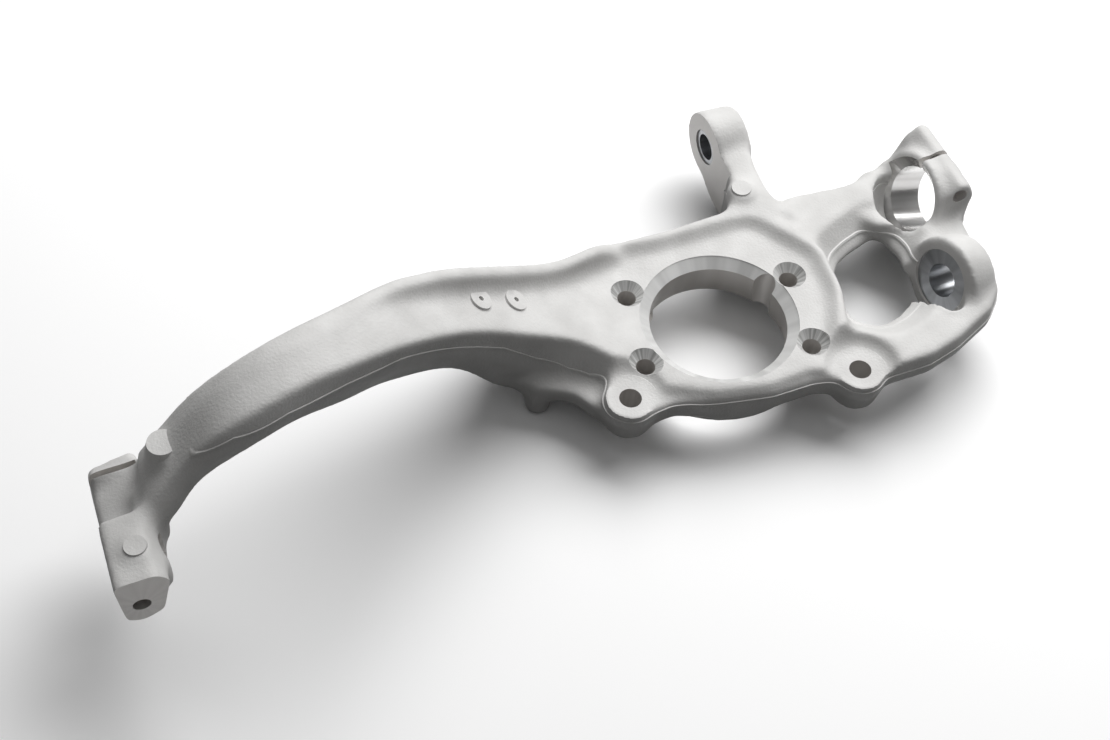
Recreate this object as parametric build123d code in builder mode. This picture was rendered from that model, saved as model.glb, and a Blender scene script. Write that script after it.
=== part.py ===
"""Forged aluminium steering knuckle with a long curved neck, and its two pressed-in steel bushes.

The frame is the machined hub bore: the origin is the centre of its inboard rim, +Z runs along
the hub axis towards the inboard side, +X points to the lower ball joints, +Y to the steering arm.
All lengths are in millimetres and all angles in degrees.
"""

import os
from math import cos, radians, sin

from build123d import *

# --- hub ---------------------------------------------------------------------------------------
hub_bore_radius = 45.0
hub_bore_land = 12.0  # straight length of the bore below its inboard rim
hub_relief_radius = 48.5  # where the relieved part of the bore leaves the outboard face
hub_depth = 25.0  # inboard rim to the outboard bearing face
hub_web_height = 6.0  # dished web round the bolt holes, above the inboard rim
hub_rim_height = 12.5  # raised rim round that web
hub_lead_radius = 52.0  # top of the turned lead-in above the bore
hub_lead_height = 5.5
flange_radius = 62.0
flange_draft = 3.0
shoulder_slope = 42.0  # slope of the hub's shoulder between the caliper bosses
rim_slope = 50.0  # slope of the raised rim down to the dished web
barrel_draft = 21.0  # cone between the flange and the inboard rim
sensor_notch_radius = 10.0
sensor_notch_angle = 34.0
sensor_notch_depth = 4.0
parting_depth = 9.0  # the forging's parting plane, below the inboard rim
draft = 7.0

# --- bearing and caliper bolts ------------------------------------------------------------------
bearing_bolt_spacing_x = 110.0
bearing_bolt_spacing_y = 56.0
bearing_bolt_hole = 12.4
bearing_bolt_pad = 14.5
bolt_cone_radius = 11.5
caliper_bolt_x = (-69.8, 80.8)
caliper_bolt_y = -50.6
caliper_bolt_hole = 14.3
caliper_face_height = 1.7
caliper_face_radius = 15.0
caliper_boss_radius = 18.0
caliper_boss_depth = 24.0

# --- frame between the hub and the ball joints ---------------------------------------------------
web_height = 8.0
web_depth = 14.0
frame_corner = 5.0
window_draft = 20.0
window_slope = 50.0  # slope of the frame down to the window's edge
root_plate_height = -4.0  # top of the plate under the root of the neck

# --- clamp eye for the upper of the two lower ball joints ----------------------------------------
clamp_centre = (157.0, 87.0, 0.0)
clamp_axis = (-0.943, -0.184, 0.277)
clamp_bore = 45.2
clamp_mouth_radius = 29.4
clamp_mouth_depth = 6.0
clamp_eye_radius = 33.5
clamp_eye_length = 31.0
clamp_slot = 3.5
clamp_slot_offset = -7.0
clamp_bolt_hole = 10.5
clamp_bolt_height = 28.0  # over the bore's axis
clamp_bolt_depth = 14.0  # behind the eye's face
clamp_lug_near = 27.0
clamp_lug_far = 37.0
clamp_lug_height = 35.5

# --- eye with the pressed-in taper bush ----------------------------------------------------------
bush_centre = (157.0, 13.0, 0.0)
bush_axis = (-0.925, -0.321, 0.204)
bush_radius = 21.6
bush_length = 21.0
bush_recess = 1.2
bush_spotface_radius = 24.0
bush_taper_mouth = 11.5
bush_taper_end = 9.3
bush_eye_radius = 30.7
bush_eye_length = 25.0
bush_eye_draft = 8.0
eye_clearance = 14.0  # free space in front of each eye's face

# --- ejector pads of the forging die: x, y and top ------------------------------------------------
ejector_pads = ((38.8, 98.0, 17.0), (-349.5, -91.0, 73.0), (-367.6, -143.0, 57.5))
ejector_radius = 8.5
ejector_depth = 12.0

# --- steering arm --------------------------------------------------------------------------------
arm_centre = (29.0, 154.0, 0.0)
arm_axis = (-0.9785, -0.204, -0.022)
arm_eye_radius = 25.5
arm_eye_length = 26.0
arm_bush_radius = 12.8
arm_bush_recess = 1.0
arm_taper_mouth = 9.4
arm_taper_end = 7.6
# y of a section, its x range and its z range, from the eye down to the hub
arm_sections = (
    (150.0, 29.0, 53.0, -27.0, 20.0),
    (126.0, 33.5, 55.5, -36.0, 14.0),
    (100.0, 33.0, 58.5, -32.0, 13.0),
    (76.0, 14.0, 70.0, -22.0, 12.0),
)

# --- neck ----------------------------------------------------------------------------------------
# x and z of the web, y of its far and near edge, height of the far rim and of the near ridge over
# the web, depth of the section, and depth of the hollow in its outboard side
neck_stations = (
    (-30.0, 5.5, 73.0, -33.0, 5.0, 0.0, 25.0, 1.0),
    (-60.0, 6.5, 66.0, -34.0, 8.0, 0.5, 25.0, 1.0),
    (-88.0, 14.5, 53.0, -19.0, 12.0, 1.0, 36.0, 2.0),
    (-114.0, 28.0, 39.0, -18.0, 9.0, 1.0, 56.0, 5.0),
    (-134.0, 40.0, 29.5, -22.0, 10.0, 1.0, 49.0, 9.0),
    (-155.0, 53.0, 20.0, -27.0, 11.0, 1.0, 41.0, 12.0),
    (-176.0, 67.5, 10.5, -36.0, 10.0, 0.0, 43.0, 12.0),
    (-200.0, 83.5, -2.5, -50.0, 7.0, -1.0, 46.0, 12.0),
    (-222.0, 97.0, -16.5, -64.5, 2.0, -2.5, 46.0, 12.0),
    (-250.0, 108.0, -36.0, -80.0, -1.0, -4.0, 41.0, 11.0),
    (-280.0, 112.5, -53.0, -95.0, -1.0, -4.0, 33.0, 11.0),
    (-304.0, 107.5, -62.5, -103.5, -1.0, -4.0, 28.5, 10.0),
    (-326.0, 94.5, -67.5, -108.0, -1.0, -4.0, 25.5, 7.0),
    (-346.0, 75.0, -72.0, -112.0, -1.0, -4.0, 21.0, 4.0),
    (-365.0, 52.0, -76.0, -122.0, -1.0, -4.0, 18.5, 1.0),
)
neck_rim = 10.0  # width of the far rim
neck_flange = 9.0  # width of the flanges beside the outboard hollow

# --- head with the two upper link pins ------------------------------------------------------------
head_face_centre = (-368.7, -163.8, 30.0)
head_direction = (0.17, -0.985, 0.0)
head_length = 92.0
head_near_length = 44.0
# trimmed faces on the head's inner side: start and end behind the bolt face, reach, height
head_lips = ((10.0, 32.0, 20.0, 3.0), (37.0, 60.0, 25.0, 8.0))
head_bolt_hole = 10.2
head_pin_bore = 16.0
head_near_pin = (25.0, 10.0)  # distance from the bolt face, height over the bolt
head_far_pin = (82.0, -11.0)
head_slot = 3.5
head_slot_reach = 8.0  # how far the far slot runs on towards the neck


def unit(v):
    """Unit vector of a tuple."""
    return Vector(*v).normalized()


def axis_plane(centre, axis, along=0.0):
    """Plane square to an axis, whose local Y lies as near the hub's +Z as it can."""
    z_dir = unit(axis)
    y_dir = (Vector(0, 0, 1) - z_dir * z_dir.Z).normalized()
    return Plane(origin=Vector(*centre) + z_dir * along, x_dir=y_dir.cross(z_dir), z_dir=z_dir)


def neck_plane(i):
    """Plane of a neck station: it holds the hub's Y axis and is square to the neck's climb."""
    before = neck_stations[max(i - 1, 0)]
    after = neck_stations[min(i + 1, len(neck_stations) - 1)]
    x, z = neck_stations[i][:2]
    climb = (after[0] - before[0], 0, after[1] - before[1])
    return Plane(origin=(x, 0, z), x_dir=(0, -1, 0), z_dir=climb)


def neck_section(far_y, near_y, far_rim, near_ridge, depth, hollow):
    """Outline points of a neck section: rim, web and ridge above, two flanges and a hollow below."""
    far, near = -far_y, -near_y
    return (
        (far + 1, far_rim),
        (far + neck_rim, 0.9 * far_rim + 0.6),
        (far + neck_rim + 5, 0),
        (near - 1, near_ridge),
        (near + 3, -0.5 * depth),
        (near - 1, -depth),
        (near - neck_flange, -depth),
        (near - neck_flange - 3, -depth + hollow),
        (far + neck_flange + 5, -depth + hollow),
        (far + neck_flange + 2, -depth),
        (far + 3, -depth),
        (far - 1, -0.5 * depth),
    )


parting = Plane.XY.offset(-parting_depth)
clamp_plane = axis_plane(clamp_centre, clamp_axis)
bush_plane = axis_plane(bush_centre, bush_axis)
arm_plane = axis_plane(arm_centre, arm_axis)
head_plane = axis_plane(head_face_centre, head_direction)
# planes seen along the clamp's pinch bolt and along the head's pins
lug_plane = Plane(origin=clamp_plane.origin, x_dir=clamp_plane.z_dir, z_dir=-clamp_plane.x_dir)
pin_plane = Plane(origin=head_plane.origin, x_dir=head_plane.z_dir, z_dir=-head_plane.x_dir)
caliper_bolts = [(x, caliper_bolt_y) for x in caliper_bolt_x]

with BuildPart() as knuckle_body:
    # flat frame out to the ball joints, sloping down to its window
    with BuildSketch(parting) as frame_plan:
        with BuildLine():
            FilletPolyline(
                (40, -50),
                (98, -58),
                (129, -52),
                (152, -41),
                (181, -21),
                (193, -4),
                (189, 44),
                (187, 84),
                (172, 110),
                (150, 122),
                (130, 106),
                (112, 101),
                (72, 96.5),
                (30, 70),
                radius=frame_corner,
                close=True,
            )
        make_face()
    extrude(amount=parting_depth + web_height, taper=draft)
    extrude(frame_plan.sketch, amount=-(web_depth - parting_depth), taper=window_draft)
    with BuildSketch(parting) as window:
        with BuildLine():
            FilletPolyline(
                (131, 65),
                (140, 42),
                (137, 6),
                (122, -6),
                (109, -11),
                (94, -5),
                (90, 8),
                (90, 30),
                (96, 43),
                (106, 51),
                radius=5,
                close=True,
            )
        make_face()
    extrude(amount=40, taper=-window_slope, mode=Mode.SUBTRACT)
    extrude(window.sketch, amount=-40, taper=-window_draft, mode=Mode.SUBTRACT)

    # hub: a raised rim over the parting plane, a shoulder on the near side, a turned barrel below
    with BuildSketch(parting):
        with BuildLine():
            FilletPolyline(
                (-102, -2),
                (-62, -36),
                (-38, -49),
                (4, -58),
                (40, -53),
                (60, -41),
                (80, -38),
                (87, 8),
                (84, 44),
                (60, 76),
                (30, 88),
                (-24, 74.5),
                (-70, 67),
                (-100, 60),
                radius=10,
                close=True,
            )
        make_face()
    extrude(amount=parting_depth + hub_rim_height, taper=draft)
    with BuildSketch():
        with BuildLine():
            FilletPolyline(
                (-84, -40),
                (-63, -64),
                (-42, -58),
                (-18, -61),
                (20, -61),
                (50, -55),
                (68, -56),
                (88, -44),
                (60, 0),
                (-60, 0),
                radius=8,
                close=True,
            )
        make_face()
    extrude(amount=-2 * parting_depth, taper=flange_draft)
    with BuildSketch():
        with BuildLine():
            FilletPolyline(
                (-80, -30),
                (-50, -51),
                (-18, -60.5),
                (20, -60.5),
                (58, -50),
                (80, -36),
                (60, 0),
                (-60, 0),
                radius=8,
                close=True,
            )
        make_face()
    extrude(amount=hub_web_height, taper=shoulder_slope)
    with BuildSketch(Plane.XY.offset(-hub_depth)):
        Circle(flange_radius)
    extrude(amount=hub_depth, taper=barrel_draft)
    with BuildSketch(parting):
        Circle(flange_radius)
        with GridLocations(bearing_bolt_spacing_x, bearing_bolt_spacing_y, 2, 2):
            Circle(bearing_bolt_pad)
        make_hull()
    extrude(amount=-(hub_depth - parting_depth), taper=flange_draft)

    # dished web inside the hub's raised rim, open towards the neck and the near side
    with BuildSketch(Plane.XY.offset(hub_web_height)):
        with BuildLine():
            FilletPolyline(
                (-125, -90),
                (62, -90),
                (62, -32),
                (73, 8),
                (70, 40),
                (38, 72),
                (-24, 59),
                (-60, 56),
                (-125, 47),
                radius=12,
                close=True,
            )
        make_face()
    extrude(amount=30, taper=-rim_slope, mode=Mode.SUBTRACT)

    # plate under the root of the neck
    with BuildSketch(parting) as root_plan:
        with BuildLine():
            FilletPolyline(
                (-50, -52),
                (-60, -58),
                (-84, -56),
                (-103, -34),
                (-126, -27),
                (-138, -18),
                (-138, 4),
                (-118, 22),
                (-60, 40),
                radius=6,
                close=True,
            )
        make_face()
    extrude(amount=parting_depth + root_plate_height, taper=draft)
    extrude(root_plan.sketch, amount=-(hub_depth - parting_depth), taper=draft)

    # caliper bosses
    with BuildSketch(parting):
        with Locations(*caliper_bolts):
            Circle(caliper_boss_radius)
    extrude(amount=parting_depth + caliper_face_height, taper=draft + 10)
    with BuildSketch(parting):
        with Locations(*caliper_bolts):
            Circle(caliper_boss_radius - 1)
    extrude(amount=-(caliper_boss_depth - parting_depth), taper=draft)

    # neck
    for i, (_, _, *shape) in enumerate(neck_stations):
        with BuildSketch(neck_plane(i)):
            with BuildLine():
                Polyline(*neck_section(*shape), close=True)
            make_face()
    loft()

    # head: a high clamp eye at the bolt face and a lower one beyond the neck
    with BuildSketch(head_plane):
        with BuildLine():
            FilletPolyline(
                (-12.5, 24),
                (-10, -13),
                (-1, -17),
                (11, -11),
                (18, 18),
                (11, 26),
                radius=3,
                close=True,
            )
        make_face()
    extrude(amount=-head_near_length)
    for start, end, reach, height in head_lips:
        with BuildSketch(head_plane.offset(-start)):
            with Locations((reach - 8, height)):
                Rectangle(16, 22)
        extrude(amount=start - end)
    with BuildSketch(head_plane.offset(-head_length)):
        with BuildLine():
            FilletPolyline(
                (-12, 5),
                (-12, -24),
                (-5, -30),
                (14, -26),
                (18, -10),
                (17, 14),
                radius=4,
                close=True,
            )
        make_face()
    extrude(amount=head_length - head_near_length + 14)

    # steering arm: a round eye and a drafted arm down to the hub
    for y, x_left, x_right, z_low, z_high in arm_sections:
        with BuildSketch(Plane.XZ.offset(-y)):
            with Locations(((x_left + x_right) / 2, (z_low + z_high) / 2)):
                Rectangle(x_right - x_left, z_high - z_low)
    loft()
    with BuildSketch(arm_plane):
        Circle(arm_eye_radius)
    extrude(amount=-arm_eye_length, taper=3)

    # clamp eye with its split lug
    with BuildSketch(clamp_plane):
        Circle(clamp_eye_radius)
    extrude(amount=-clamp_eye_length, taper=draft)
    with BuildSketch(lug_plane.offset(-clamp_lug_near)):
        with BuildLine():
            FilletPolyline(
                (-5, 0),
                (-5, 24),
                (-12, clamp_lug_height),
                (-19, clamp_lug_height),
                (-28, 26),
                (-28, 0),
                radius=4,
                close=True,
            )
        make_face()
    extrude(amount=clamp_lug_near + clamp_lug_far)

    # bush eye
    with BuildSketch(bush_plane):
        Circle(bush_eye_radius)
    extrude(amount=-bush_eye_length, taper=bush_eye_draft)

    # stub boss on the outboard side
    with BuildSketch(Plane.XY.offset(-42)):
        with Locations((-121, -18)):
            Circle(8.5)
    extrude(amount=30, taper=-3)

    # marks of the die's ejector pins
    for x, y, top in ejector_pads:
        with BuildSketch(Plane.XY.offset(top)):
            with Locations((x, y)):
                Circle(ejector_radius)
        extrude(amount=-ejector_depth, taper=-10)

    # the hub's rim keeps clear of the window
    extrude(window.sketch, amount=40, mode=Mode.SUBTRACT)

    # turned hub bore and its lead-in
    with BuildSketch(Plane.XZ):
        with BuildLine():
            Polyline(
                (0, 40),
                (hub_lead_radius, 40),
                (hub_lead_radius, hub_lead_height),
                (hub_bore_radius, 0),
                (hub_bore_radius, -hub_bore_land),
                (hub_relief_radius, -hub_depth),
                (hub_relief_radius, -60),
                (0, -60),
                close=True,
            )
        make_face()
    revolve(axis=Axis.Z, mode=Mode.SUBTRACT)

    # bearing bolt holes, each with a conical seat, and caliper bolt holes
    with Locations(Plane.XY.offset(hub_web_height)):
        with GridLocations(bearing_bolt_spacing_x, bearing_bolt_spacing_y, 2, 2):
            CounterSinkHole(
                radius=bearing_bolt_hole / 2,
                counter_sink_radius=bolt_cone_radius,
                depth=hub_depth * 2,
            )
    with Locations(Plane.XY.offset(caliper_face_height)):
        with Locations(*caliper_bolts):
            Hole(radius=caliper_bolt_hole / 2)
    with BuildSketch(Plane.XY.offset(caliper_face_height)):
        with Locations(*caliper_bolts):
            Circle(caliper_face_radius)
    extrude(amount=30, mode=Mode.SUBTRACT)

    # sensor notch
    with BuildSketch(Plane.XY.offset(-sensor_notch_depth)):
        with Locations(
            (
                hub_bore_radius * cos(radians(sensor_notch_angle)),
                hub_bore_radius * sin(radians(sensor_notch_angle)),
            )
        ):
            Circle(sensor_notch_radius)
    extrude(amount=30, mode=Mode.SUBTRACT)

    # clamp bore, conical mouth, slot and pinch bolt hole
    with BuildSketch(clamp_plane.offset(eye_clearance)):
        Circle(clamp_mouth_radius)
    extrude(amount=-eye_clearance, mode=Mode.SUBTRACT)
    with BuildSketch(clamp_plane):
        Circle(clamp_mouth_radius)
    with BuildSketch(clamp_plane.offset(-clamp_mouth_depth)):
        Circle(clamp_bore / 2)
    loft(mode=Mode.SUBTRACT)
    with BuildSketch(clamp_plane.offset(-clamp_mouth_depth)):
        Circle(clamp_bore / 2)
    extrude(amount=-60, mode=Mode.SUBTRACT)
    with BuildSketch(clamp_plane.offset(5)):
        with Locations((clamp_slot_offset, 30)):
            Rectangle(clamp_slot, 60)
    extrude(amount=-60, mode=Mode.SUBTRACT)
    with BuildSketch(lug_plane):
        with Locations((-clamp_bolt_depth, clamp_bolt_height)):
            Circle(clamp_bolt_hole / 2)
    extrude(amount=80, both=True, mode=Mode.SUBTRACT)

    # seat of the taper bush
    with BuildSketch(bush_plane.offset(eye_clearance)):
        Circle(bush_spotface_radius)
    extrude(amount=-eye_clearance, mode=Mode.SUBTRACT)
    with BuildSketch(bush_plane):
        Circle(bush_radius)
    extrude(amount=-bush_recess - bush_length, mode=Mode.SUBTRACT)
    with BuildSketch(bush_plane):
        Circle(bush_radius - 4)
    extrude(amount=-60, mode=Mode.SUBTRACT)

    # seat of the steering arm's bush
    with BuildSketch(arm_plane):
        Circle(arm_bush_radius)
    extrude(amount=-60, mode=Mode.SUBTRACT)

    # head: bolt hole, pin bores and clamp slots
    with BuildSketch(head_plane):
        Circle(head_bolt_hole / 2)
    extrude(amount=-head_length, mode=Mode.SUBTRACT)
    with BuildSketch(pin_plane):
        for distance, height in (head_near_pin, head_far_pin):
            with Locations((-distance, height)):
                Circle(head_pin_bore / 2)
        with Locations((-head_near_pin[0], head_near_pin[1] - 20)):
            Rectangle(head_slot, 40)
    extrude(amount=40, both=True, mode=Mode.SUBTRACT)
    with BuildSketch(pin_plane.offset(-head_slot_reach)):
        with Locations((-head_far_pin[0], head_far_pin[1] + 20)):
            Rectangle(head_slot, 40)
    extrude(amount=40, mode=Mode.SUBTRACT)

with BuildPart() as lower_ball_joint_bush:
    with BuildSketch(bush_plane.offset(-bush_recess)):
        Circle(bush_radius)
    extrude(amount=-bush_length)
    with BuildSketch(bush_plane.offset(-bush_recess)):
        Circle(bush_taper_mouth)
    with BuildSketch(bush_plane.offset(-bush_recess - bush_length)):
        Circle(bush_taper_end)
    loft(mode=Mode.SUBTRACT)

with BuildPart() as steering_arm_bush:
    with BuildSketch(arm_plane.offset(-arm_bush_recess)):
        Circle(arm_bush_radius)
    extrude(amount=-arm_eye_length + arm_bush_recess)
    with BuildSketch(arm_plane.offset(-arm_bush_recess)):
        Circle(arm_taper_mouth)
    with BuildSketch(arm_plane.offset(-arm_eye_length)):
        Circle(arm_taper_end)
    loft(mode=Mode.SUBTRACT)

knuckle_body.part.label = "knuckle_body"
lower_ball_joint_bush.part.label = "lower_ball_joint_bush"
steering_arm_bush.part.label = "steering_arm_bush"

os.makedirs("parts", exist_ok=True)
export_step(knuckle_body.part, "parts/knuckle_body.step")
export_step(lower_ball_joint_bush.part, "parts/lower_ball_joint_bush.step")
export_step(steering_arm_bush.part, "parts/steering_arm_bush.step")
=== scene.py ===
import math

import bmesh
import bpy
from mathutils import Matrix, Vector


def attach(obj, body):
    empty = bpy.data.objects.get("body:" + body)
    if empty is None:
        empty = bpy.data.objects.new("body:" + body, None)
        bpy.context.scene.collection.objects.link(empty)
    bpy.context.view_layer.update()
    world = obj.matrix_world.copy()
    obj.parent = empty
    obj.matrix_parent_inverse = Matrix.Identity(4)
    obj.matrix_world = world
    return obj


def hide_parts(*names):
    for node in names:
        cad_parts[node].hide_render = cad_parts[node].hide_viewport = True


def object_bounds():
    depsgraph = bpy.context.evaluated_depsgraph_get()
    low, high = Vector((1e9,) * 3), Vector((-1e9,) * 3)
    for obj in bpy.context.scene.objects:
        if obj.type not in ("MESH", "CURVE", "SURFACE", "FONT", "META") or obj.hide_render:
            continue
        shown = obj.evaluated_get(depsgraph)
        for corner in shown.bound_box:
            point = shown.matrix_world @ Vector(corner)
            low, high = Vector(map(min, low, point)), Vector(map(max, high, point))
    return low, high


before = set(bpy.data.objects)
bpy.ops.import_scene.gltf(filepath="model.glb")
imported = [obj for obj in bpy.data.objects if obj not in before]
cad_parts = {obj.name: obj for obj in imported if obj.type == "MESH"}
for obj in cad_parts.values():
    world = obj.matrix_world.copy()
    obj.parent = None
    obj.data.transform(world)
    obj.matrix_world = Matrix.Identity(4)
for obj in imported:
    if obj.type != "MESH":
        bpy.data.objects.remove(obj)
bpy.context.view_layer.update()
bpy.ops.object.select_all(action="DESELECT")

# The forging: one piece of aluminium alloy, pressed hot in closed dies, trimmed and blasted.
# Stock is left on wherever the machine shop will cut, the dies round every edge and corner,
# and where they meet they leave a thin line of flash round the outline.

MM = 0.001
VOXEL = 1.7 * MM
DIE_FILLET = 5 * MM


def seat(origin, axis):
    """Axes of a machined seat: Z out of it, Y as near to the hub's +Z as it can be."""
    z = Vector(axis).normalized()
    up = Vector((0, 0, 1)) if abs(z.z) < 0.999 else Vector((0, 1, 0))
    y = (up - z * up.dot(z)).normalized()
    turn = Matrix((y.cross(z), y, z)).transposed().to_4x4()
    return Matrix.Translation(Vector(origin) * MM) @ turn


def sideways(axes):
    """The same seat seen from its left: X runs out of it, Y stays, Z crosses it."""
    x, y, z = (axes.col[i].xyz for i in range(3))
    return Matrix.Translation(axes.translation) @ Matrix((z, y, -x)).transposed().to_4x4()


# the seats that are machined later, and the bolts and pins that stand on them
HUB = Matrix.Identity(4)
CLAMP = seat((157, 87, 0), (-0.943, -0.184, 0.277))
BUSH = seat((157, 13, 0), (-0.925, -0.321, 0.204))
ARM = seat((29, 154, 0), (-0.9785, -0.204, -0.022))
HEAD = seat((-368.7, -163.8, 30), (0.17, -0.985, 0))
BEARING_BOLTS = [(x, y) for x in (-55, 55) for y in (-28, 28)]
CALIPER_BOLTS = [(-69.8, -50.6), (80.8, -50.6)]
PINS = [(-25, 10), (-82, -11)]
WEB_HEIGHT = 6.0


def bar(axes, radius, start, end, x=0.0, y=0.0, end_radius=None, sides=96):
    """A round bar along a seat's Z from start to end, tapered where end_radius is given."""
    bpy.ops.mesh.primitive_cone_add(
        vertices=sides,
        radius1=radius * MM,
        radius2=(radius if end_radius is None else end_radius) * MM,
        depth=(end - start) * MM,
    )
    made = bpy.context.object
    spot = Matrix.Translation(Vector((x, y, (start + end) / 2)) * MM)
    made.data.transform(axes @ spot)
    return made


def block(axes, size, x=0.0, y=0.0, along=0.0):
    """A block on a seat's axes: size is its width, height and length."""
    bpy.ops.mesh.primitive_cube_add(size=1)
    made = bpy.context.object
    spot = Matrix.Translation(Vector((x, y, along)) * MM)
    made.data.transform(axes @ spot @ Matrix.Diagonal((*(side * MM for side in size), 1)))
    return made


def slab(axes, outline, start, end):
    """A slab of the given outline on a seat's XY, from start to end along its Z."""
    bpy.ops.mesh.primitive_circle_add(vertices=len(outline), fill_type="NGON")
    made = bpy.context.object
    for vertex, (x, y) in zip(made.data.vertices, outline):
        vertex.co = Vector((x, y, start)) * MM
    bpy.ops.object.mode_set(mode="EDIT")
    bpy.ops.mesh.select_all(action="SELECT")
    bpy.ops.mesh.extrude_region_move(TRANSFORM_OT_translate={"value": (0, 0, (end - start) * MM)})
    bpy.ops.mesh.select_all(action="SELECT")
    bpy.ops.mesh.normals_make_consistent(inside=False)
    bpy.ops.object.mode_set(mode="OBJECT")
    made.data.transform(axes)
    return made


def dome(axes, radius, reach, start):
    """A half ellipsoid on a seat, with its round mouth at start and its tip reach above it."""
    bpy.ops.mesh.primitive_uv_sphere_add(segments=64, ring_count=32, radius=1)
    made = bpy.context.object
    bpy.ops.object.mode_set(mode="EDIT")
    bpy.ops.mesh.select_all(action="SELECT")
    bpy.ops.mesh.bisect(plane_co=(0, 0, 0), plane_no=(0, 0, 1), use_fill=True, clear_inner=True)
    bpy.ops.object.mode_set(mode="OBJECT")
    spot = Matrix.Translation(Vector((0, 0, start)) * MM)
    made.data.transform(axes @ spot @ Matrix.Diagonal((radius * MM, radius * MM, reach * MM, 1)))
    return made


def modify(obj, kind, **settings):
    """Adds a modifier and applies it."""
    modifier = obj.modifiers.new(kind.lower(), kind)
    for key, value in settings.items():
        setattr(modifier, key, value)
    bpy.ops.object.select_all(action="DESELECT")
    obj.select_set(True)
    bpy.context.view_layer.objects.active = obj
    bpy.ops.object.modifier_apply(modifier=modifier.name)


def swell(obj, amount):
    """Moves the whole skin outwards by an amount, or inwards where it is negative."""
    modify(obj, "DISPLACE", strength=amount, mid_level=0)


def reskin(obj):
    """Makes one closed skin of even facets over all that the object holds."""
    modify(obj, "REMESH", mode="VOXEL", voxel_size=VOXEL, adaptivity=0.0)


def soften(obj, rounds):
    """Rounds the edges and corners of the skin a little with every round."""
    modify(obj, "SMOOTH", factor=0.5, iterations=rounds)


def join(first, *others):
    """Makes one object of several."""
    bpy.ops.object.select_all(action="DESELECT")
    for part in (first, *others):
        part.select_set(True)
    bpy.context.view_layer.objects.active = first
    if others:
        bpy.ops.object.join()
    return first


def boolean(obj, operation, *tools):
    """Joins the tools, which may not touch each other, and adds or cuts them."""
    tool = join(*tools)
    modify(obj, "BOOLEAN", operation=operation, solver="MANIFOLD", object=tool)
    bpy.data.objects.remove(tool)


mesh = bpy.data.meshes.new("knuckle_forging")
bm = bmesh.new()
bm.from_mesh(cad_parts["knuckle_body"].data)
bmesh.ops.remove_doubles(bm, verts=bm.verts, dist=0.02 * MM)
bm.to_mesh(mesh)
bm.free()
body = bpy.data.objects.new("knuckle_forging", mesh)
bpy.context.scene.collection.objects.link(body)

# the slope that runs down to the clamp eye: a dome with its top and both its sides cut away by
# blocks, each given by its size and its middle
SADDLE = {"radius": 34, "reach": 46, "start": -4}
SADDLE_CUTS = [
    ((200, 200, 100), 140, 90, 55),
    ((200, 100, 200), 140, 163, 0),
    ((200, 100, 200), 140, 12, 0),
]
saddle = dome(CLAMP, **SADDLE)
for cut in SADDLE_CUTS:
    boolean(saddle, "DIFFERENCE", block(HUB, *cut))

# stock over the seats: the radius of each plug, and where it starts and ends along its seat,
# or a block's size and its middle
HUB_STOCK = (54, -24, WEB_HEIGHT)
CLAMP_STOCK = (29.6, -31, 0.2)
BUSH_STOCK = (24, -25, 0.5)
ARM_STOCK = (15, -25, 0)
ARM_COLLAR = (24.5, -6, 3)
CROSS_BOLT_END = -92
CROSS_BOLT_STOCK = (5.5, CROSS_BOLT_END, 0)
PIN_STOCK = (8.5, -17.5, 11.5)
BEARING_BOLT_STOCK = (14, -23, WEB_HEIGHT)
FAR_SLOT_STOCK = ((4, 22, 29), -82, 2, -3)
# the lug of the clamp's pinch bolt and the head's end round its cross bolt, seen along a seat
LUG = [(-5, 15), (-5, 24.5), (-12, 37), (-19, 37), (-28.5, 27), (-28.5, 15)]
LUG_SPAN = (-27, 37)
BOLT_END = [(-12.5, 24), (-10, -13), (-1, -17), (11, -11), (18, 18), (11, 26)]
BOLT_END_SPAN = (-35, 4)
body = join(
    body,
    saddle,
    bar(HUB, *HUB_STOCK),
    bar(CLAMP, *CLAMP_STOCK),
    bar(BUSH, *BUSH_STOCK),
    bar(ARM, *ARM_STOCK),
    bar(ARM, *ARM_COLLAR),
    slab(sideways(CLAMP), LUG, *LUG_SPAN),
    slab(HEAD, BOLT_END, *BOLT_END_SPAN),
    bar(HEAD, *CROSS_BOLT_STOCK, sides=32),
    *(bar(sideways(HEAD), *PIN_STOCK, x, y) for x, y in PINS),
    block(sideways(HEAD), *FAR_SLOT_STOCK),
    *(bar(HUB, *BEARING_BOLT_STOCK, x, y) for x, y in BEARING_BOLTS),
)
reskin(body)

# hollows that the dies leave ahead of a seat, and the caliper bosses that rise out of theirs
CLAMP_HOLLOW = {"radius": 26.5, "reach": 26, "start": 0.4}
CLAMP_HOLLOW_SHIFT = 4
BUSH_HOLLOW = {"radius": 24.5, "start": 0.6, "end": 18, "end_radius": 33}
CALIPER_HOLLOW = {"radius": 19, "start": 0.3, "end": 14, "end_radius": 30}
CALIPER_BOSS = (16.4, -20, 2.7)
boolean(
    body,
    "DIFFERENCE",
    dome(CLAMP @ Matrix.Translation(Vector((CLAMP_HOLLOW_SHIFT, 0, 0)) * MM), **CLAMP_HOLLOW),
    bar(BUSH, **BUSH_HOLLOW),
    *(bar(HUB, x=x, y=y, **CALIPER_HOLLOW) for x, y in CALIPER_BOLTS),
)
boolean(body, "UNION", *(bar(HUB, *CALIPER_BOSS, x, y) for x, y in CALIPER_BOLTS))

# the dies' fillets: the skin swells until the inner corners fill up, and shrinks back
swell(body, DIE_FILLET)
reskin(body)
soften(body, rounds=4)
swell(body, -DIE_FILLET)
reskin(body)
soften(body, rounds=12)

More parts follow.
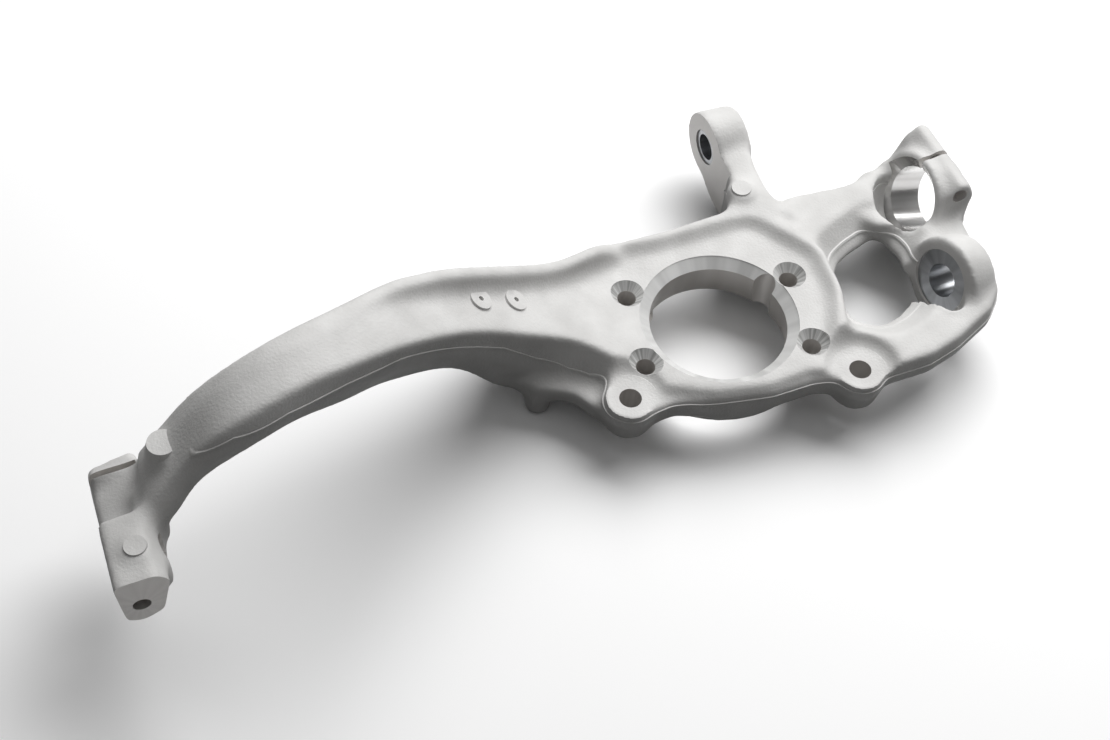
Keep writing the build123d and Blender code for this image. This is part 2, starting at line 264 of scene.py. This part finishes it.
# where the dies meet: x and z along the part, from the ball joint end to the head
PARTING = [
    (240, -3), (-80, -3), (-90, -5), (-103, -2), (-125, 13), (-146, 33), (-167, 46),
    (-190, 62), (-213, 77), (-245, 88), (-279, 96), (-309, 94), (-333, 83),
]
FLASH_HEIGHT = 0.9
FLASH_REACH = 0.7 * MM
SEAM_SPAN = (-260, 260)
ALONG = Matrix(((1, 0, 0), (0, 0, -1), (0, 1, 0))).to_4x4()
flash = body.copy()
flash.data = body.data.copy()
bpy.context.scene.collection.objects.link(flash)
swell(flash, FLASH_REACH)
far_side = [(x, z + FLASH_HEIGHT) for x, z in reversed(PARTING)]
boolean(flash, "INTERSECT", slab(ALONG, PARTING + far_side, *SEAM_SPAN))
boolean(body, "UNION", flash)

# two round test pads on the slope of the neck, each with a small hole, and the flat pads that
# the ejector pins leave: x, y, the height of each top and its radius
SLOPE = (0.53, 0, 0.85)
PADS = [seat(spot, SLOPE) for spot in ((-157.6, -2.4, 56), (-134, 5.5, 41))]
PAD = {"radius": 8.6, "start": -4, "end": 0.9, "end_radius": 7.6}
PAD_HOLE = (1.7, -1, 2)
EJECTORS = [(38.8, 98, 17.3, 8.6), (-348.5, -91, 75.5, 10.5), (-367.6, -143, 58, 8.2)]
EJECTOR_DEPTH = 7
EJECTOR_TAPER = 2
boolean(
    body,
    "UNION",
    *(bar(pad, **PAD) for pad in PADS),
    *(
        bar(HUB, wide, top - EJECTOR_DEPTH, top, x, y, end_radius=wide - EJECTOR_TAPER)
        for x, y, top, wide in EJECTORS
    ),
)
boolean(body, "DIFFERENCE", *(bar(pad, *PAD_HOLE) for pad in PADS))

# The machining: bores, bolt holes, seats and slots cut into the forging, which leave bright
# turned and milled faces with the tool's marks, square edges and small lead-ins. Painted
# highlight streaks in their colour run out from each seat's axis.


def finish(name, color, metallic, roughness):
    """A plain material of the given colour, and its shader."""
    made = bpy.data.materials.new(name)
    made.use_nodes = True
    shader = made.node_tree.nodes["Principled BSDF"]
    shader.inputs["Base Color"].default_value = (*color, 1)
    shader.inputs["Metallic"].default_value = metallic
    shader.inputs["Roughness"].default_value = roughness
    return made, shader


def blend(tree, factor, low, high, target):
    """Blends two colours by a value and leads the result to a socket."""
    mix = tree.nodes.new("ShaderNodeMix")
    mix.data_type = "RGBA"
    mix.inputs["A"].default_value = (*low, 1)
    mix.inputs["B"].default_value = (*high, 1)
    tree.links.new(factor, mix.inputs["Factor"])
    tree.links.new(mix.outputs["Result"], target)


def grain(tree, vector, scale, detail=3.0):
    """A noise on the given coordinates, scale in waves per metre."""
    noise = tree.nodes.new("ShaderNodeTexNoise")
    noise.inputs["Scale"].default_value = scale
    noise.inputs["Detail"].default_value = detail
    tree.links.new(vector, noise.inputs["Vector"])
    return noise.outputs["Fac"]


def stretch(tree, value, low, high):
    """Spreads the values between low and high over 0 to 1."""
    spread = tree.nodes.new("ShaderNodeMapRange")
    spread.inputs["From Min"].default_value = low
    spread.inputs["From Max"].default_value = high
    tree.links.new(value, spread.inputs["Value"])
    return spread.outputs["Result"]


def bump(tree, shader, height, strength, distance):
    """A bump node between a height and the shader's normal."""
    made = tree.nodes.new("ShaderNodeBump")
    made.inputs["Strength"].default_value = strength
    made.inputs["Distance"].default_value = distance
    tree.links.new(height, made.inputs["Height"])
    tree.links.new(made.outputs["Normal"], shader.inputs["Normal"])


def vector_node(tree, operation, vector):
    """A vector operation on the given vector."""
    made = tree.nodes.new("ShaderNodeVectorMath")
    made.operation = operation
    tree.links.new(vector, made.inputs[0])
    return made


CLOUD_DARK, CLOUD_LIGHT = (0.53, 0.525, 0.515), (0.62, 0.615, 0.605)
CLOUDS, BLAST_PITS = 45, 600  # waves per metre
blasted, shader = finish("blasted_aluminium", CLOUD_LIGHT, metallic=0.04, roughness=0.55)
shader.inputs["Specular IOR Level"].default_value = 0.18
tree = blasted.node_tree
place = tree.nodes.new("ShaderNodeTexCoord").outputs["Object"]
cloud = stretch(tree, grain(tree, place, CLOUDS), low=0.3, high=0.7)
blend(tree, cloud, CLOUD_DARK, CLOUD_LIGHT, shader.inputs["Base Color"])
pits = grain(tree, place, BLAST_PITS, detail=5)
bump(tree, shader, pits, strength=0.6, distance=0.4 * MM)

# a seat's painted sheen and tool marks: painted highlight streaks in the colour that run out
# from its axis, standing in for the sheen of a turned face, and fine real grooves round it
GROOVES = 2500  # waves per metre
sheen_and_marks = bpy.data.node_groups.new("painted_sheen_and_tool_marks", "ShaderNodeTree")
sheen_and_marks.interface.new_socket("Place", in_out="INPUT", socket_type="NodeSocketVector")
sheen_and_marks.interface.new_socket("Streaks", in_out="INPUT", socket_type="NodeSocketFloat")
sheen_and_marks.interface.new_socket("PaintedSheen", in_out="OUTPUT", socket_type="NodeSocketFloat")
sheen_and_marks.interface.new_socket("Groove", in_out="OUTPUT", socket_type="NodeSocketFloat")
entry = sheen_and_marks.nodes.new("NodeGroupInput")
leave = sheen_and_marks.nodes.new("NodeGroupOutput")
flat = vector_node(sheen_and_marks, "MULTIPLY", entry.outputs["Place"])
flat.inputs[1].default_value = (1, 1, 0)
around = vector_node(sheen_and_marks, "NORMALIZE", flat.outputs["Vector"])
# the painted highlight streaks: a noise on the direction round the axis
sheen_noise = sheen_and_marks.nodes.new("ShaderNodeTexNoise")
sheen_noise.inputs["Detail"].default_value = 2.0
sheen_and_marks.links.new(around.outputs["Vector"], sheen_noise.inputs["Vector"])
sheen_and_marks.links.new(entry.outputs["Streaks"], sheen_noise.inputs["Scale"])
painted_sheen = stretch(sheen_and_marks, sheen_noise.outputs["Fac"], low=0.35, high=0.65)
sheen_and_marks.links.new(painted_sheen, leave.inputs["PaintedSheen"])
radius = vector_node(sheen_and_marks, "LENGTH", flat.outputs["Vector"])
depth = sheen_and_marks.nodes.new("ShaderNodeSeparateXYZ")
sheen_and_marks.links.new(entry.outputs["Place"], depth.inputs["Vector"])
ring = sheen_and_marks.nodes.new("ShaderNodeMath")
ring.operation = "ADD"
sheen_and_marks.links.new(radius.outputs["Value"], ring.inputs[0])
sheen_and_marks.links.new(depth.outputs["Z"], ring.inputs[1])
groove = sheen_and_marks.nodes.new("ShaderNodeTexNoise")
groove.noise_dimensions = "1D"
groove.inputs["Scale"].default_value = GROOVES
groove.inputs["Detail"].default_value = 1.0
sheen_and_marks.links.new(ring.outputs["Value"], groove.inputs["W"])
sheen_and_marks.links.new(groove.outputs["Fac"], leave.inputs["Groove"])


def turned(name, axes, dark, light, streaks, metallic, roughness, mirrored=False):
    """A turned finish round a seat's axis, or round the four of a mirrored pattern of seats, its
    colour streaked between dark and light with painted highlights.
    """
    made, shader = finish(name, light, metallic, roughness)
    tree = made.node_tree
    place = tree.nodes.new("ShaderNodeTexCoord").outputs["Object"]
    if mirrored:
        place = vector_node(tree, "ABSOLUTE", place).outputs["Vector"]
    centre = tree.nodes.new("ShaderNodeMapping")
    centre.vector_type = "TEXTURE"
    centre.inputs["Location"].default_value = axes.translation
    centre.inputs["Rotation"].default_value = axes.to_euler()
    tree.links.new(place, centre.inputs["Vector"])
    group = tree.nodes.new("ShaderNodeGroup")
    group.node_tree = sheen_and_marks
    group.inputs["Streaks"].default_value = streaks
    tree.links.new(centre.outputs["Vector"], group.inputs["Place"])
    # painted highlight: the colour runs from dark to light across the streaks
    blend(tree, group.outputs["PaintedSheen"], dark, light, shader.inputs["Base Color"])
    bump(tree, shader, group.outputs["Groove"], strength=0.3, distance=0.1 * MM)
    return made


# the dark and light colours of each machined finish; the streaks between them are painted
# highlights
BORED = {"dark": (0.52, 0.5, 0.48), "light": (0.6, 0.58, 0.56)}
FACED = {"dark": (0.66, 0.66, 0.65), "light": (0.9, 0.9, 0.89)}
CONED = {"dark": (0.5, 0.5, 0.49), "light": (0.95, 0.95, 0.94)}
REAMED = {"dark": (0.55, 0.54, 0.53), "light": (0.97, 0.97, 0.96)}
MILLED = {"dark": (0.68, 0.66, 0.64), "light": (0.76, 0.74, 0.72)}
SPOTFACED = (0.8, 0.8, 0.79)
BEARING = Matrix.Translation(Vector((*BEARING_BOLTS[-1], 0)) * MM)
bored = turned("bored_aluminium", HUB, **BORED, streaks=3, metallic=0.35, roughness=0.42)
faced = turned("faced_aluminium", HUB, **FACED, streaks=4, metallic=0.35, roughness=0.35)
coned = turned(
    "coned_aluminium", BEARING, **CONED, streaks=5, metallic=0.45, roughness=0.3, mirrored=True
)
reamed = turned("reamed_aluminium", CLAMP, **REAMED, streaks=1.8, metallic=0.7, roughness=0.2)
milled = turned("milled_aluminium", HEAD, **MILLED, streaks=3, metallic=0.3, roughness=0.4)
spotfaced, shader = finish("spotfaced_aluminium", SPOTFACED, metallic=0.05, roughness=0.55)
shader.inputs["Specular IOR Level"].default_value = 0.2
body.data.materials.clear()
for skin in (blasted, bored, faced, coned, reamed, milled, spotfaced):
    body.data.materials.append(skin)


def machine(skin, *cutters):
    """Cuts shapes that don't touch each other out of the forging, leaving the given finish."""
    for cutter in cutters:
        cutter.data.materials.clear()
        cutter.data.materials.append(skin)
    boolean(body, "DIFFERENCE", *cutters)


THROUGH = 60  # a cutter that goes right through starts or ends this far from its seat
LAP = 0.01  # two cutters that follow each other overlap by this much

# the bores and the bolt holes, given by their radii
HUB_BORE = 45
BUSH_BORE = 17.6
ARM_BORE = 12.9
CROSS_BOLT_HOLE = 5.1
BEARING_BOLT_HOLE = 6.2
CALIPER_BOLT_HOLE = 7.15
machine(
    bored,
    bar(HUB, HUB_BORE, -THROUGH, THROUGH),
    bar(BUSH, BUSH_BORE, -THROUGH, 0),
    bar(ARM, ARM_BORE, -THROUGH, end=10),
    bar(HEAD, CROSS_BOLT_HOLE, CROSS_BOLT_END, end=5, sides=40),
    *(bar(HUB, BEARING_BOLT_HOLE, -THROUGH, THROUGH, x, y, sides=48) for x, y in BEARING_BOLTS),
    *(bar(HUB, CALIPER_BOLT_HOLE, -THROUGH, THROUGH, x, y, sides=48) for x, y in CALIPER_BOLTS),
)

# the hub's turned lead-in, the faces of the caliper bosses and the relief behind the bore
LEAD_IN, LEAD_HEIGHT = 52, 5.5
CALIPER_FACE = {"radius": 17.5, "start": 1.7, "end": 12}
RELIEF = {"radius": 48.5, "start": -25.2, "end": -12, "end_radius": HUB_BORE}
machine(faced, bar(HUB, HUB_BORE, 0, LEAD_HEIGHT, end_radius=LEAD_IN))
machine(faced, bar(HUB, LEAD_IN, LEAD_HEIGHT - LAP, end=40))
machine(spotfaced, *(bar(HUB, x=x, y=y, **CALIPER_FACE) for x, y in CALIPER_BOLTS))
machine(bored, bar(HUB, **RELIEF))

# the clamp eye: its bore, and a mouth that opens out to its face
CLAMP_BORE, CLAMP_MOUTH, CLAMP_MOUTH_DEPTH = 22.6, 29.4, 6
machine(reamed, bar(CLAMP, CLAMP_BORE, -THROUGH, end=1))
machine(reamed, bar(CLAMP, CLAMP_BORE, -CLAMP_MOUTH_DEPTH, LAP, end_radius=CLAMP_MOUTH))
machine(reamed, bar(CLAMP, CLAMP_MOUTH, start=0, end=2.5))

# the seat of the lower bush, and the end faces of the steering arm and of the head
BUSH_SEAT = (21.7, -22.2, 14)
ARM_FACING = (80, 80, 20)
HEAD_FACING = (60, 60, 20)
machine(
    milled,
    bar(BUSH, *BUSH_SEAT),
    block(ARM, ARM_FACING, along=ARM_FACING[2] / 2),
    block(HEAD, HEAD_FACING, along=HEAD_FACING[2] / 2),
)

# the slots that let the clamps close, each given by its size and its middle, the holes of the
# link pins, and the hole of the pinch bolt
SLOT = 3.5
PIN_HOLE = (8, -40, 40)
CLAMP_SLOT = ((SLOT, 60, 62), -7, 30, -29)
NEAR_SLOT = ((SLOT, 40, 80), -25, -10, 0)
FAR_SLOT = ((SLOT, 40, 56), -82, 9, 12)
PINCH_BOLT_HOLE = (5.25, -80, 80, -14, 28)
machine(
    milled,
    block(CLAMP, *CLAMP_SLOT),
    *(bar(sideways(HEAD), *PIN_HOLE, x, y, sides=64) for x, y in PINS),
)
machine(
    milled,
    block(sideways(HEAD), *NEAR_SLOT),
    block(sideways(HEAD), *FAR_SLOT),
    bar(sideways(CLAMP), *PINCH_BOLT_HOLE, sides=48),
)

# the conical seats of the bearing bolts, with room above them for the bolts' heads
BOLT_CONE = {"radius": BEARING_BOLT_HOLE, "start": 0.7, "end": WEB_HEIGHT, "end_radius": 11}
BOLT_HEAD = {"radius": 11, "start": WEB_HEIGHT - LAP, "end": 30}
machine(coned, *(bar(HUB, x=x, y=y, sides=64, **BOLT_CONE) for x, y in BEARING_BOLTS))
machine(faced, *(bar(HUB, x=x, y=y, sides=64, **BOLT_HEAD) for x, y in BEARING_BOLTS))

# the notch for the wheel sensor, down the wall of the hub bore
NOTCH = (7.6, -THROUGH, 30)
NOTCH_OUT, NOTCH_ANGLE = 44.5, math.radians(34)
notch_spot = (NOTCH_OUT * math.cos(NOTCH_ANGLE), NOTCH_OUT * math.sin(NOTCH_ANGLE))
machine(milled, bar(HUB, *NOTCH, *notch_spot))

CREASE = math.radians(32)
bpy.ops.object.select_all(action="DESELECT")
body.select_set(True)
bpy.context.view_layer.objects.active = body
bpy.ops.object.shade_smooth_by_angle(angle=CREASE)
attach(body, "root")
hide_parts("knuckle_body")

# The two bushes: steel turned from bar, each with a tapered hole for a ball joint's pin, and
# pressed into the eyes of the frame and of the steering arm.

# the bushes' steel, its colour streaked between dark and light with painted highlights
STEEL = {"dark": (0.28, 0.29, 0.30), "light": (0.42, 0.43, 0.45)}
for node, axes in (("lower_ball_joint_bush", BUSH), ("steering_arm_bush", ARM)):
    steel = turned(f"{node}_steel", axes, **STEEL, streaks=2.5, metallic=0.85, roughness=0.3)
    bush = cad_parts[node]
    bush.data.materials.clear()
    bush.data.materials.append(steel)

# The studio: a sheet of white paper under the part, which throws little of its light back on
# it, one large softbox that hangs above and behind the part, and a dim sky.

FLOOR_SIZE, FLOOR_GAP = 8, 0.5 * MM
PAPER_SEEN, PAPER_THROWN = (0.97,) * 3, (0.06,) * 3
low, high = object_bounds()
bpy.ops.mesh.primitive_plane_add(size=FLOOR_SIZE, location=(0, 0, low[2] - FLOOR_GAP))
floor = bpy.context.object
floor.name = "studio_floor"
paper, shader = finish("white_paper", (0.9, 0.9, 0.9), metallic=0.0, roughness=0.9)
nodes, links = paper.node_tree.nodes, paper.node_tree.links
rays = nodes.new("ShaderNodeLightPath")
seen = rays.outputs["Is Camera Ray"]
for ray in ("Is Glossy Ray", "Is Transmission Ray"):
    either = nodes.new("ShaderNodeMath")
    either.operation = "MAXIMUM"
    links.new(seen, either.inputs[0])
    links.new(rays.outputs[ray], either.inputs[1])
    seen = either.outputs[0]
blend(paper.node_tree, seen, PAPER_THROWN, PAPER_SEEN, shader.inputs["Base Color"])
floor.data.materials.append(paper)

SOFTBOX_SPOT, SOFTBOX_AIM = Vector((0.6, 0.95, 1.3)), Vector((-0.1, 0, 0))
light = bpy.data.lights.new("overhead_softbox", "AREA")
light.shape = "RECTANGLE"
light.size, light.size_y, light.energy = 1.9, 1.3, 46
lamp = bpy.data.objects.new("overhead_softbox", light)
bpy.context.scene.collection.objects.link(lamp)
lamp.location = SOFTBOX_SPOT
lamp.rotation_euler = (SOFTBOX_AIM - SOFTBOX_SPOT).to_track_quat("-Z", "Y").to_euler()

HORIZON, ZENITH = (0.02,) * 3, (0.34,) * 3
world = bpy.data.worlds.new("studio")
bpy.context.scene.world = world
world.use_nodes = True
sky = world.node_tree
background = sky.nodes["Background"]
direction = sky.nodes.new("ShaderNodeTexCoord")
height = sky.nodes.new("ShaderNodeSeparateXYZ")
sky.links.new(direction.outputs["Generated"], height.inputs["Vector"])
rise = stretch(sky, height.outputs["Z"], low=0.1, high=0.95)
blend(sky, rise, HORIZON, ZENITH, background.inputs["Color"])

# The camera stands above the side that lies away from the steering arm, and looks down on the
# hub. The columns of its matrix are its right, its up, the way to its back and its place.

LENS, SENSOR_WIDTH = 52.6, 36
camera_data = bpy.data.cameras.new("camera")
camera_data.sensor_fit = "HORIZONTAL"
camera_data.sensor_width = SENSOR_WIDTH
camera_data.lens = LENS
camera = bpy.data.objects.new("camera", camera_data)
bpy.context.scene.collection.objects.link(camera)
camera.matrix_world = Matrix(
    (
        (0.9805, 0.1193, -0.1564, -0.2719),
        (-0.1883, 0.7990, -0.5711, -0.6049),
        (0.0568, 0.5894, 0.8059, 0.8233),
        (0, 0, 0, 1),
    )
)
bpy.context.scene.camera = camera
bpy.context.scene.view_settings.view_transform = "Standard"
